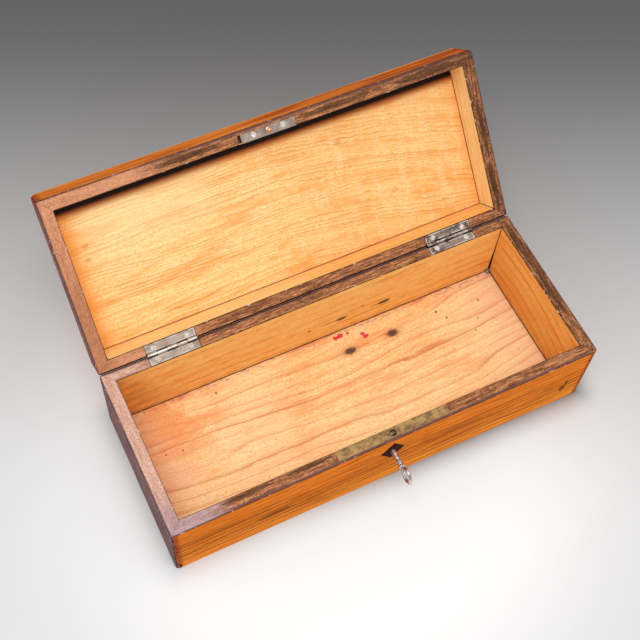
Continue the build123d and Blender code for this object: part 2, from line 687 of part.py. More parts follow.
base_pieces = {
    "front_board": front_board,
    "back_board": back_board,
    "left_end": left_end,
    "right_end": right_end,
    "bottom_board": bottom_board,
    "bottom_nails": bottom_nails,
    "left_hinge_base_leaf": left_hinge_base_leaf,
    "right_hinge_base_leaf": right_hinge_base_leaf,
    "left_hinge_pin": left_hinge_pin,
    "right_hinge_pin": right_hinge_pin,
    "base_hinge_screws": base_hinge_screws,
    "escutcheon": escutcheon,
    "lock_plate": lock_plate,
    "lock_cap": lock_cap,
    "lock_screws": lock_screws,
    "cap_screws": cap_screws,
    "bolt_stumps": bolt_stumps,
    "bolt_spring": bolt_spring,
    "drill_pin": drill_pin,
    "lock_bolt": lock_bolt,
    "key": key,
}
lid_pieces = {
    "lid_front_rail": lid_front_rail,
    "lid_back_rail": lid_back_rail,
    "lid_left_rail": lid_left_rail,
    "lid_right_rail": lid_right_rail,
    "lid_top": lid_top,
    "left_hinge_lid_leaf": left_hinge_lid_leaf,
    "right_hinge_lid_leaf": right_hinge_lid_leaf,
    "lid_hinge_screws": lid_hinge_screws,
    "lid_plate": lid_plate,
    "lid_plate_screws": lid_plate_screws,
    "lid_pin": lid_pin,
}

for name, piece in base_pieces.items():
    piece.part.label = name
    export_step(piece.part, f"parts/{name}.step")

for name, piece in lid_pieces.items():
    opened = piece.part.rotate(HINGE_AXIS, -OPEN_ANGLE)
    opened.label = name
    export_step(opened, f"parts/{name}.step")
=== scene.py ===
import json
from functools import reduce
from math import radians

import bpy
import numpy as np
from mathutils import Matrix, Vector


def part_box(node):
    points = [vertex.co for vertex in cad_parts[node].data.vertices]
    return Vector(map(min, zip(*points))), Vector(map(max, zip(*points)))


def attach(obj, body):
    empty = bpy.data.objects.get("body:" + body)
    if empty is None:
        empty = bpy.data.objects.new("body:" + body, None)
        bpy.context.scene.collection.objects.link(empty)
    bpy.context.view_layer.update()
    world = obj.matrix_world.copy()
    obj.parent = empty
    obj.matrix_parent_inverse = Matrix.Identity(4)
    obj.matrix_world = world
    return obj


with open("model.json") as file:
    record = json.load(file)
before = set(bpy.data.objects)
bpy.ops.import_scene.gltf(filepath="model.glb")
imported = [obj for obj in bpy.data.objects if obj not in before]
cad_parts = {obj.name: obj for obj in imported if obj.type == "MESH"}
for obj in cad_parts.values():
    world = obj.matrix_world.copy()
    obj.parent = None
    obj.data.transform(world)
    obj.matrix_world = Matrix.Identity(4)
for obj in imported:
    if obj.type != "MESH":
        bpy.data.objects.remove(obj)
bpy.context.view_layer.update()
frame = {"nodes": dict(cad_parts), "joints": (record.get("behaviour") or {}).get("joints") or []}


# The four walls of the box: 11 mm boards of an orange, lightly figured softwood, mitred at
# the corners and glued. The outside is varnished and has gone brown in streaks, the inside
# is bare and bright, and a hundred years of hands have left the top edges dirty.
MM = 1000.0
front_low, front_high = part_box("front_board")
end_low, end_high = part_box("right_end")
HALF_LENGTH = end_high.x * MM
HALF_DEPTH = -front_low.y * MM
RIM_Z = front_high.z * MM
WALL = (end_high.x - end_low.x) * MM
INNER_X = HALF_LENGTH - WALL
INNER_Y = HALF_DEPTH - WALL
FLOOR_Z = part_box("bottom_board")[1].z * MM
lid_hinge = next(joint for joint in frame["joints"] if joint["name"] == "lid_hinge")
HINGE_LINE = Vector(lid_hinge["pos_m"]) * MM
GROOVE_FRONT, GROOVE_BACK, GROOVE_DEPTH = 0.7, 1.15, 6.0
LOCK_DEPTH = 40.0
MITRE_LINE, MITRE_OPEN = 0.25, 0.90
STREAKS_FOOT, STREAKS_TOP = (10.0, 24.0), (60.0, 42.0)

INSIDE = ((0.98, 0.52, 0.130), (0.94, 0.33, 0.050), (0.99, 0.68, 0.240))
INSIDE_LINE = (0.42, 0.085, 0.012)
BACK_PAINTED_LIGHT = (1.0, 0.70, 0.270)
LEFT_SHADE_BROWN = (0.38, 0.115, 0.02)
FOOT_BROWN = (0.42, 0.12, 0.03)
SHADE_BROWN = (0.34, 0.105, 0.022)
VARNISH = (0.74, 0.160, 0.006)
VARNISH_PALE = (0.99, 0.34, 0.040)
VARNISH_STREAK = (0.120, 0.022, 0.002)
VARNISH_BLACK = (0.022, 0.005, 0.001)
VARNISH_RED = (0.24, 0.030, 0.009)
SIDE_MAROON_SHADE = (0.105, 0.042, 0.044)
SIDE_WORN = (0.30, 0.170, 0.168)
RIM_BROWN = (0.30, 0.105, 0.042)
RIM_TAN = (0.70, 0.30, 0.135)
RIM_DARK = (0.060, 0.026, 0.015)
RIM_BLACK = (0.014, 0.006, 0.005)
RIM_RUBBED_SHEEN_PINK = (0.50, 0.350, 0.370)
RIM_RUBBED_SHEEN_CREAM = (0.75, 0.47, 0.370)
RIM_PATCH = (0.080, 0.036, 0.017)
RIM_PURPLE = (0.110, 0.062, 0.072)
RIM_HINGE_SHADE = (0.085, 0.055, 0.068)
RECESS_SHADE = (0.050, 0.028, 0.032)
SEAM_AND_SHADE_BLACK = (0.008, 0.004, 0.005)
CHIP_WHITE = (0.74, 0.62, 0.58)
SMUDGE_OILY = (0.075, 0.040, 0.012)
DOT_RED = (0.50, 0.020, 0.010)

# Stains, each by its middle and its half sizes in mm: scars on the front face by x and z,
# dark patches on the top edges by x and y, and smudges on the back wall by x and z.
FRONT_SCARS = ((168.0, 25.0, 3.0, 6.5), (-104.0, 31.0, 17.0, 2.6), (170.5, 34.0, 2.0, 4.0))
RIM_PATCHES = ((-124.0, -67.0, 24.0, 1.8), (-72.0, -66.5, 20.0, 2.0), (70.5, -71.2, 5.0, 0.9),
               (109.0, -72.4, 4.0, 0.9), (184.6, -4.0, 2.2, 34.0), (183.6, 42.0, 2.8, 24.0))
SMUDGES = ((67.7, 27.0, 7.2, 3.3), (25.3, 27.0, 6.4, 2.8), (60.0, 27.0, 8.0, 0.8),
           (12.0, 27.4, 9.0, 0.8), (45.4, 35.0, 1.6, 1.4))
RED_DOTS = ((-5.7, 26.8, 1.8), (36.6, 12.2, 1.1))

# How each board is cut from its tree: the heart line beside it, how far apart the growth
# rings stand, how far they wander, and how much of the board's length shows in them.
LONG_RINGS = ((0.0, 30.0, -70.0), 11.0, 12.0, 0.03)
LEFT_RINGS = ((-179.0, 12.0, -30.0), 8.0, 8.0, 0.36)
RIGHT_RINGS = ((179.0, 13.0, -37.0), 12.0, 6.0, 0.66)
OUTSIDE_RINGS = ((0.0, 60.0, 160.0), 4.6, 16.0)


class Value:
    """One output in a material's node tree. Sums on it add Math or Vector Math nodes."""

    def __init__(self, out):
        self.out = out

    def node(self, kind, settings, inputs, output=0):
        """Adds a node: its settings are set first, then a value or a link on each input."""
        tree = self.out.id_data
        new = tree.nodes.new("ShaderNode" + kind)
        for name, setting in settings.items():
            setattr(new, name, setting)
        for name, value in inputs.items():
            socket = new.inputs[name]
            if isinstance(value, Value):
                tree.links.new(value.out, socket)
                continue
            if hasattr(socket.default_value, "__len__"):
                size = len(socket.default_value)
                value = (value,) * size if isinstance(value, (int, float)) else (*value, 1.0)[:size]
            socket.default_value = value
        return Value(new.outputs[output])

    def maths(self, operation, first, second=0.0):
        """The operation on two values, a vector's if either of them is one."""
        def is_vector(value):
            return isinstance(value, tuple) or isinstance(value, Value) and value.out.type != "VALUE"
        kind = "VectorMath" if is_vector(first) or is_vector(second) else "Math"
        return self.node(kind, {"operation": operation}, {0: first, 1: second})

    def __add__(self, other):
        return self.maths("ADD", self, other)

    def __radd__(self, other):
        return self.maths("ADD", other, self)

    def __sub__(self, other):
        return self.maths("SUBTRACT", self, other)

    def __rsub__(self, other):
        return self.maths("SUBTRACT", other, self)

    def __mul__(self, other):
        return self.maths("MULTIPLY", self, other)

    def __rmul__(self, other):
        return self.maths("MULTIPLY", other, self)

    def __truediv__(self, other):
        return self.maths("DIVIDE", self, other)

    def __rtruediv__(self, other):
        return self.maths("DIVIDE", other, self)

    def __pow__(self, other):
        return self.maths("POWER", self, other)

    def __rpow__(self, other):
        return self.maths("POWER", other, self)

    def __abs__(self):
        return self.maths("ABSOLUTE", self)

    def most(self, other):
        """The larger of the two."""
        return self.maths("MAXIMUM", self, other)

    def least(self, other):
        """The smaller of the two."""
        return self.maths("MINIMUM", self, other)

    def rise(self, low, high):
        """Climbs smoothly from 0 at low to 1 at high, or falls if high is the lower."""
        settings = {"interpolation_type": "SMOOTHSTEP"}
        return self.node("MapRange", settings, {0: self, 1: low, 2: high, 3: 0.0, 4: 1.0})

    def band(self, middle, half, soft):
        """1 within half of the middle, falling to 0 over the soft width outside."""
        return abs(self - middle).rise(half + soft, half)

    def part(self, axis):
        """The X, Y or Z of a point."""
        return self.node("SeparateXYZ", {}, {0: self}, axis)

    def parts(self):
        """The X, the Y and the Z of a point."""
        return tuple(self.part(axis) for axis in "XYZ")

    def length(self):
        """The length of a vector."""
        return self.node("VectorMath", {"operation": "LENGTH"}, {0: self}, "Value")

    def clouds(self, size, detail=2.0, seed=0.0, output="Fac"):
        """Soft noise round 0.5 with lumps of that size in mm along x, y and z."""
        scaled = self * tuple(1.0 / s for s in size) + (seed, seed * 0.7, seed * 0.3)
        settings = {"noise_dimensions": "3D", "normalize": True}
        inputs = {"Vector": scaled, "Scale": 1.0, "Detail": detail, "Roughness": 0.55}
        return scaled.node("TexNoise", settings, inputs, output)


def blend(first, second, share):
    """The first colour where share is 0, the second where it is 1. Of a Mix node's sockets,
    0 is the factor, and 6 and 7 are the colours."""
    return share.node("Mix", {"data_type": "RGBA"}, {0: share, 6: first, 7: second}, 2)


def start_material(name):
    """A new material, and the point that it paints in mm from the middle of the underside."""
    material = bpy.data.materials.new(name)
    material.use_nodes = True
    shader = Value(material.node_tree.nodes["Principled BSDF"].outputs[0])
    return material, shader.node("TexCoord", {}, {}, "Object") * (MM, MM, MM)


def finish_material(material, colour, roughness, height, metallic=0.0, gloss=0.5):
    """Sets or links the shader's colour, roughness and metal, and bumps of a height in mm."""
    shader = material.node_tree.nodes["Principled BSDF"]
    inputs = {"Base Color": colour, "Roughness": roughness, "Metallic": metallic, "Specular IOR Level": gloss}
    if isinstance(height, Value):
        inputs["Normal"] = height.node("Bump", {}, {"Height": height, "Distance": 1.0 / MM, "Strength": 1.0})
    for name, value in inputs.items():
        if isinstance(value, Value):
            material.node_tree.links.new(value.out, shader.inputs[name])
        else:
            shader.inputs[name].default_value = value


def dress(material, *nodes):
    """Gives the built pieces of those names this material."""
    for name in nodes:
        for slot in frame["nodes"][name].material_slots:
            slot.material = material


def along(run, length, width):
    """A size for clouds: length along the run of the grain, width across it."""
    return (length, width, width) if run == "X" else (width, length, width)


def growth_rings(point, run, heart, spacing, wander, seed, flow=0.03):
    """The board cut through growth rings. A point is squeezed lengthwise, moved about by
    slow noise, and its distance from a heart line beside the board is counted in rings.
    Gives how far a ring has darkened towards its late wood, and the thin line it ends in."""
    slow = point.clouds(along(run, 150.0, 34.0), 1.0, seed, "Color") - (0.5, 0.5, 0.5)
    quick = point.clouds(along(run, 24.0, 7.0), 3.0, seed + 5.0, "Color") - (0.5, 0.5, 0.5)
    moved = point * along(run, flow, 1.0) + slow * wander + quick * (wander * 0.14)
    count = (moved - heart).length() / spacing
    ring = count.maths("FRACT", count)
    number = count.maths("FLOOR", count) + seed
    own = count.node("TexWhiteNoise", {"noise_dimensions": "1D"}, {"W": number})
    kept = point.clouds(along(run, 70.0, 9.0), 1.0, seed + 8.0).rise(0.30, 0.58)
    late = ring ** 3.0 * ring.rise(1.0, 0.95) * (0.25 + 0.75 * own)
    line = ring.rise(0.78, 0.92) * ring.rise(1.0, 0.955) * (0.30 + 0.70 * own) * kept
    return late, line


def hair_grain(point, run, seed):
    """Fine grain, lighter and darker: long fibres and shorter pores, both about 0 to 1."""
    fibres = point.clouds(along(run, 24.0, 1.1), 4.0, seed).rise(0.36, 0.64)
    pores = point.clouds(along(run, 6.0, 0.9), 3.0, seed + 1.0).rise(0.54, 0.70)
    return fibres, pores


def beyond_inside(point):
    """How far a point is outside the inner faces of the walls, less than 0 within them."""
    return (abs(point.part("X")) - INNER_X).most(abs(point.part("Y")) - INNER_Y)


def patches(point, spots, seed):
    """Long dark stains with a ragged outline, each given by its middle and its half sizes."""
    ragged = point.clouds((7.0, 3.0, 3.0), 4.0, seed) - 0.5
    covers = []
    for x, y, long, wide in spots:
        off = (point - (x, y, 0.0)) * (1.0 / long, 1.0 / wide, 0.0)
        covers.append((off.length() + ragged * 1.5).rise(1.06, 0.84))
    return reduce(Value.most, covers) * (0.92 + 1.2 * ragged)


def rim_colour(point, run, out, rubbed_sheen, pale, black, seed):
    """The dirty top edge: brown and tan in short streaks with black ones among them, a
    purplish stripe along the outer third, and paler, speckled wood where it is rubbed and
    a sheen is painted on."""
    x = point.part("X")
    streaks = point.clouds(along(run, 34.0, 2.0), 4.0, seed).rise(0.48, 0.58)
    smears = point.clouds(along(run, 26.0, 3.6), 3.0, seed + 3.0).rise(0.42, 0.62)
    speckle = point.clouds(along(run, 2.2, 1.2), 4.0, seed + 9.0).rise(0.44, 0.60)
    fine = point.clouds(along(run, 12.0, 1.3), 3.0, seed + 6.0).rise(0.36, 0.64)
    grimy = x.rise(170.0, 182.0) * 0.24
    inky = out.rise(8.4, 9.4) * (0.50 + 0.40 * fine) * (1.0 - 0.7 * x.rise(175.0, 183.0))
    brown = blend(RIM_BROWN, RIM_TAN, fine * 0.95)
    brown = blend(brown, RIM_DARK, smears * 0.24 + speckle * 0.44 + grimy)
    brown = blend(brown, RIM_BLACK, streaks * black)
    brown = blend(brown, RIM_PURPLE, inky)
    # Rubbed wood with a painted sheen: paler and speckled.
    rubbed = blend(rubbed_sheen, RIM_BROWN, smears * 0.20 + speckle * 0.34 + (1.0 - fine) * 0.14)
    rubbed = blend(rubbed, RIM_PURPLE, out.rise(9.4, 10.4) * 0.75)
    return blend(brown, rubbed, pale)


def edge_wear(colour, point, out, above, seed):
    """Both edges of a board's rim: grimy in most places, and chipped to white wood in some."""
    worn = point.clouds((4.5, 4.5, 2.0), 3.0, seed)
    chipped = 0.64 - 0.05 * point.part("X").rise(170.0, 176.0)
    upper = above.rise(-1.1, -0.5)
    inner_edge = upper * out.band(0.0, 0.40, 0.35)
    outer_edge = upper * out.band(WALL, 0.30, 0.60)
    colour = blend(colour, SEAM_AND_SHADE_BLACK, inner_edge * 0.80)
    colour = blend(colour, CHIP_WHITE, inner_edge * (worn - chipped).rise(0.0, 0.03) * 0.85)
    colour = blend(colour, SEAM_AND_SHADE_BLACK, outer_edge * worn.rise(0.62, 0.50) * 0.60)
    return blend(colour, CHIP_WHITE, outer_edge * worn.rise(0.64, 0.68) * 0.45)


def stay(point):
    """The point as it is: the box doesn't move."""
    return point


def board_finish(name, run, seed, colours, rings, place=stay, rim_z=RIM_Z, up=1.0):
    """A board's finish. Its inner face, outer face and dirty edge are told apart by place,
    with black glue lines at the mitres, painted shade in the cuts for the lock and the
    hinges and in the gap along the hinge line, and wear. Its seed gives it clouds and grain
    of its own."""
    material, point = start_material(name)
    point = place(point)
    x, y, z = point.parts()
    above = (z - rim_z) * up
    out = beyond_inside(point)
    mitre = abs(abs(x) - abs(y) - (HALF_LENGTH - HALF_DEPTH))
    inner, outer, rim, height = colours(point, run, out, seed, rings)
    edge = above.rise(-0.45, -0.1)
    colour = blend(outer, inner, out.rise(0.5, 0.15))
    colour = blend(colour, rim, edge)
    within = out.band(WALL / 2.0, WALL / 2.0 - 1.2, 0.6)
    # Painted shade in the cuts for the lock and the hinges.
    cut_shade = within * above.rise(-0.3, -0.7) * above.rise(-LOCK_DEPTH - 2.0, -LOCK_DEPTH)
    colour = blend(colour, RECESS_SHADE, cut_shade)
    gap = MITRE_LINE + MITRE_OPEN * x.rise(170.0, INNER_X) * above.rise(-20.0, -70.0)
    colour = blend(colour, SEAM_AND_SHADE_BLACK, (mitre - gap).rise(0.35, 0.0) * (1.0 - 0.8 * edge))
    colour = edge_wear(colour, point, out, above, seed + 13.0)
    # Painted shade: the gap between the box's and the lid's edges along the hinge line is painted black.
    behind = y - HINGE_LINE.y
    hinge_gap_shade = behind.rise(-GROOVE_FRONT, 0.4 - GROOVE_FRONT) * behind.rise(GROOVE_BACK, GROOVE_BACK - 0.25)
    colour = blend(colour, SEAM_AND_SHADE_BLACK, hinge_gap_shade * above.rise(-GROOVE_DEPTH - 1.0, -GROOVE_DEPTH))
    opened = mitre.rise(0.5, 0.1) * 0.15
    finish_material(material, colour, roughness=0.60, height=height - opened, gloss=0.02)
    return material


def bare_inside(point, run, seed, rings, tones):
    """The unvarnished inner face: orange, finely grained, with darker rings and mottling.
    The tones are its middle, deep and pale colours."""
    heart, spacing, wander, flow = rings
    middle, deep, pale = tones
    fibres, pores = hair_grain(point, run, seed + 1.0)
    mottle = point.clouds(along(run, 50.0, 10.0), 4.0, seed + 2.0).rise(0.44, 0.64)
    grit = point.clouds((3.0, 3.0, 1.6), 4.0, seed + 4.0).rise(0.44, 0.60)
    late, line = growth_rings(point, run, heart, spacing, wander, seed, flow)
    inner = blend(middle, deep, mottle * 0.75)
    inner = blend(inner, pale, fibres * 0.45)
    inner = blend(inner, deep, grit * 0.50)
    inner = blend(inner, INSIDE_LINE, late * 0.26 + pores * 0.24)
    inner = blend(inner, INSIDE_LINE, line * 0.75)
    return inner, fibres * 0.05 - line * 0.03


def varnished_outside(point, run, across, seed):
    """The varnished outer face: plain brown-orange at the top, dense dark streaks in a
    wandering band below the middle, and paler wood at the foot."""
    wander = point.clouds(along(run, 120.0, 40.0), 1.0, seed + 7.0) * 26.0 - 13.0
    level = across + wander
    fibres, pores = hair_grain(point, run, seed + 4.0)
    soft = point.clouds(along(run, 110.0, 4.0), 3.0, seed + 8.0).rise(0.46, 0.64)
    thin = point.clouds(along(run, 120.0, 1.8), 4.0, seed + 9.0).rise(0.53, 0.60)
    dense = point.clouds(along(run, 46.0, 1.3), 3.0, seed + 6.0).rise(0.57, 0.64)
    late, line = growth_rings(point, run, *OUTSIDE_RINGS, seed + 5.0)
    low = level.rise(*STREAKS_TOP) * (0.30 + 0.70 * level.rise(*STREAKS_FOOT))
    outer = blend(VARNISH, VARNISH_PALE, fibres * 0.55 + level.rise(46.0, 14.0) * 0.40)
    outer = blend(outer, VARNISH_STREAK, soft * (0.10 + 0.22 * low) + pores * 0.32)
    outer = blend(outer, VARNISH_STREAK, late * (0.30 + 0.35 * low) + line * (0.30 + 0.50 * low))
    outer = blend(outer, VARNISH_STREAK, thin * (0.16 + 0.50 * low))
    return blend(outer, VARNISH_BLACK, dense * low * 0.45)


def left_side(outer, point, seed):
    """The outer colour, changed on the left end to a dark maroon: old varnish rubbed thin, darkened further
    by painted shade.
    """
    x = point.part("X")
    rubbed = point.clouds((6.0, 26.0, 1.6), 4.0, seed).rise(0.40, 0.62)
    maroon = blend(SIDE_MAROON_SHADE, SIDE_WORN, rubbed)
    return blend(maroon, outer, x.rise(-HALF_LENGTH + 0.3, -HALF_LENGTH + 2.2))


def box_colours(point, run, out, seed, rings):
    """The colours of a wall of the box: inside, outside and top edge."""
    x, y, z = point.parts()
    inner, height = bare_inside(point, run, seed, rings, INSIDE)
    # Painted shade inside the left end, fading away from the left wall.
    patchy = point.clouds((20.0, 9.0, 9.0), 3.0, seed + 3.0).rise(0.22, 0.55)
    left_end_shade = (x + z * 0.42).rise(-116.0, -150.0) * patchy
    inner = blend(inner, LEFT_SHADE_BROWN, left_end_shade * 0.45)
    inner = blend(inner, FOOT_BROWN, z.rise(FLOOR_Z + 6.0, FLOOR_Z) * 0.20)
    right_wall = x.rise(INNER_X - 3.0, INNER_X - 0.5)
    near_front = (y + z * 0.5).rise(-24.0, -58.0)
    inner = blend(inner, SHADE_BROWN, right_wall * (z.rise(60.0, 6.0) * 0.20 + near_front * 0.44 + 0.14))
    inner = blend(inner, SEAM_AND_SHADE_BLACK, z.rise(FLOOR_Z + 0.9, FLOOR_Z + 0.4))

    outer = varnished_outside(point, run, z, seed)
    corner = (abs(x) + abs(y)).rise(HALF_LENGTH + HALF_DEPTH - 8.0, HALF_LENGTH + HALF_DEPTH - 3.0)
    chips = point.clouds((2.4, 2.4, 5.0), 3.0, seed + 10.0)
    outer = blend(outer, VARNISH_RED, corner * (0.45 + 0.55 * chips))
    outer = blend(outer, SEAM_AND_SHADE_BLACK, corner * (chips + z.rise(12.0, 0.0) * 0.14).rise(0.57, 0.64))
    outer = left_side(outer, point, seed + 12.0)
    scars = patches(point.node("CombineXYZ", {}, {0: x, 1: z, 2: 0.0}), FRONT_SCARS, seed + 12.0)
    front_face = y.rise(1.0 - HALF_DEPTH, 0.4 - HALF_DEPTH)
    outer = blend(outer, VARNISH_STREAK, scars * front_face * 0.85)

    # Rubbed wood with a painted sheen on the edge: paler towards the left end, pinker towards the front.
    cloud = point.clouds((20.0, 20.0, 20.0), 2.0, seed + 5.0) * 60.0 - 30.0
    pale = (x + cloud).rise(-125.0, -165.0)
    rubbed_sheen = blend(RIM_RUBBED_SHEEN_CREAM, RIM_RUBBED_SHEEN_PINK, y.rise(-30.0, -66.0))
    rim = rim_colour(point, run, out, rubbed_sheen, pale, 0.20, seed + 11.0)
    rim = blend(rim, RIM_PATCH, patches(point, RIM_PATCHES, seed + 13.0) * 0.80)
    return inner, outer, rim, height


def back_colours(point, run, out, seed, rings):
    """As the front wall's, with two old oily smudges and a red dot low on the inside, painted
    light brightening the inside away from its left end, and painted shade, purple-black, on
    the edge towards the hinges."""
    inner, outer, rim, height = box_colours(point, run, out, seed, rings)
    # Painted shade, purple-black, on the edge towards the hinges.
    inky = point.clouds((40.0, 5.0, 5.0), 3.0, seed + 15.0) * 5.0 + out
    rim = blend(rim, RIM_HINGE_SHADE, inky.rise(9.4, 11.2) * 0.80)
    # Painted light: the inside brightened away from its left end, in clouds.
    cloudy = point.clouds((14.0, 14.0, 6.0), 4.0, seed + 16.0).rise(0.40, 0.62)
    inner = blend(inner, BACK_PAINTED_LIGHT, point.part("X").rise(-178.0, -140.0) * (0.15 + 0.36 * cloudy))
    ragged = point.clouds((5.0, 5.0, 1.2), 3.0, seed + 14.0) - 0.5
    for at_x, at_z, long, high in SMUDGES:
        off = (point - (at_x, INNER_Y, at_z)) * (1.0 / long, 0.0, 1.0 / high)
        inner = blend(inner, SMUDGE_OILY, (off.length() + ragged * 0.9).rise(1.1, 0.5) * 0.90)
    for at_x, at_z, size in RED_DOTS:
        dot = (point - (at_x, INNER_Y, at_z)).length()
        inner = blend(inner, DOT_RED, dot.rise(size, size * 0.6) * 0.9)
    return inner, outer, rim, height


dress(board_finish("front wall wood", "X", 3.0, box_colours, LONG_RINGS), "front_board")
dress(board_finish("back wall wood", "X", 17.0, back_colours, LONG_RINGS), "back_board")
dress(board_finish("left end wood", "Y", 29.0, box_colours, LEFT_RINGS), "left_end")
dress(board_finish("right end wood", "Y", 41.0, box_colours, RIGHT_RINGS), "right_end")


# The bottom: one thin board of pale wood let into a rebate and nailed up from below. It was
# never finished inside, and has ink spots, small burns and a pink bloom at its ends.
CREAM = (0.98, 0.67, 0.285)
CREAM_DEEP = (0.94, 0.37, 0.105)
CREAM_LIGHT = (0.99, 0.88, 0.52)
FLOOR_LINE = (0.62, 0.140, 0.025)
FLOOR_PINK = (0.97, 0.60, 0.45)
FLOOR_ORANGE = (0.90, 0.31, 0.080)
FLOOR_EDGE = (0.62, 0.20, 0.07)
FLOOR_SHADE = (0.55, 0.20, 0.07)
FLECK_BROWN = (0.22, 0.055, 0.020)
SMEAR_PLUM = (0.42, 0.13, 0.19)
INK_CRIMSON = (0.72, 0.006, 0.070)
BURN_GREY = (0.080, 0.040, 0.040)
BURN_HALO = (0.55, 0.15, 0.045)

# The board's rings dip towards the front at both ends. Spots are given by x, y and size.
FLOOR_HEART = (0.0, 118.0, -48.0)
FLOOR_DIP = 10.0
INK_SPOTS = ((18.6, 58.0, 2.2), (22.8, 58.8, 2.2), (30.0, 58.2, 1.3), (42.2, 52.6, 1.6), (43.6, 49.2, 2.1))
BURN_SPOTS = ((24.5, 41.3, 3.9), (67.0, 41.9, 3.9))
PIN_HOLES = ((-99.6, 52.9, 1.0), (-160.5, 17.5, 0.8), (-145.9, 15.7, 0.8), (112.8, 44.8, 1.2),
             (118.9, 35.2, 1.1), (154.0, 39.9, 1.0), (144.6, 23.5, 0.8), (136.8, 13.4, 0.8))


def spot(point, x, y, size, seed, stretch=0.7, rough=1.5, soft=0.4):
    """A blot with a ragged edge: the distance from its middle, bent by small noise."""
    ragged = point.clouds((2.2, 1.6, 2.2), 3.0, seed) - 0.5
    away = ((point - (x, y, 0.0)) * (stretch, 1.0, 0.0)).length()
    return (away + ragged * (size * rough)).rise(size * 1.1, size * (1.1 - soft))


material, point = start_material("bottom wood")
x, y = point.part("X"), point.part("Y")
dipped = point - (x / HALF_LENGTH) ** 2.0 * (0.0, FLOOR_DIP, 0.0)
late, line = growth_rings(dipped, "X", FLOOR_HEART, 10.0, 26.0, 51.0)
small_late, small_line = growth_rings(dipped, "X", FLOOR_HEART, 2.9, 26.0, 51.0)
fibres, pores = hair_grain(dipped, "X", 52.0)
mottle = dipped.clouds((55.0, 11.0, 10.0), 4.0, 53.0)
grit = point.clouds((1.7, 1.3, 1.3), 3.0, 57.0)
colour = blend(CREAM, CREAM_DEEP, mottle.rise(0.44, 0.64) * 0.85)
colour = blend(colour, CREAM_LIGHT, fibres * 0.60)
colour = blend(colour, CREAM_DEEP, grit.rise(0.44, 0.60) * 0.50)
# Painted light: the bottom is lighter towards the front, against the shade of the front wall.
front_painted_light = y.rise(20.0, -50.0) * 0.30
pale_left = x.band(-90.0, 20.0, 40.0) * 0.34
pale_right = x.rise(90.0, 150.0) * 0.42
colour = blend(colour, CREAM_LIGHT, front_painted_light.most(pale_left).most(pale_right))
bloom = abs(x - 6.0).rise(130.0, 176.0) * mottle.rise(0.30, 0.56)
colour = blend(colour, FLOOR_PINK, bloom * 0.50)
colour = blend(colour, FLOOR_LINE, late * 0.50 + pores * 0.16)
colour = blend(colour, FLOOR_LINE, small_late * 0.18 + small_line * 0.16)
colour = blend(colour, FLOOR_LINE, line * 0.52)
blotch = point.clouds((24.0, 18.0, 10.0), 4.0, 56.0).rise(0.42, 0.62)
colour = blend(colour, FLOOR_ORANGE, blotch * x.band(-135.0, 14.0, 34.0) * y.rise(-6.0, 30.0) * 0.60)
flecks = point.clouds((2.4, 1.3, 1.3), 1.0, 58.0).rise(0.71, 0.75)
colour = blend(colour, FLECK_BROWN, flecks * 0.75)
for at_x, at_y, size in INK_SPOTS:
    colour = blend(colour, INK_CRIMSON, spot(point, at_x, at_y, size, at_x) * 0.92)
for at_x, at_y, size in BURN_SPOTS:
    colour = blend(colour, BURN_HALO, spot(point, at_x, at_y, size * 1.7, at_x, 0.5, 0.7, 0.8) * 0.50)
    colour = blend(colour, BURN_GREY, spot(point, at_x, at_y, size, at_x, 0.6, 0.7, 0.6) * 0.90)
for at_x, at_y, size in PIN_HOLES:
    colour = blend(colour, FLECK_BROWN, spot(point, at_x, at_y, size, at_x, 1.0) * 0.95)
smear = point.clouds((5.0, 2.0, 2.0), 3.0, 59.0).rise(0.52, 0.60) * y.rise(55.0, 62.5)
colour = blend(colour, SMEAR_PLUM, smear * 0.55)
past_wall = beyond_inside(point)
colour = blend(colour, FLOOR_EDGE, past_wall.rise(-5.0, 0.0) * 0.25)
left_shade = x.rise(-150.0, -179.0) * 0.30 + y.rise(-40.0, -64.0) * x.rise(-90.0, -170.0) * 0.30
colour = blend(colour, FLOOR_SHADE, left_shade)
colour = blend(colour, SEAM_AND_SHADE_BLACK, past_wall.rise(-0.8, -0.35))
finish_material(material, colour, roughness=0.60, height=fibres * 0.04 - line * 0.02, gloss=0.10)
dress(material, "bottom_board")


# A bead of grey glue in the back right corner. It has oozed out of the open mitre, run down
# on the bottom board and set there against both walls.
GLUE_X, GLUE_Y = INNER_X - 1.9, INNER_Y - 1.7
GLUE_WIDE, GLUE_HIGH = 2.7, 3.4
GLUE_GREY = (0.30, 0.25, 0.26)
GLUE_DARK = (0.08, 0.055, 0.055)


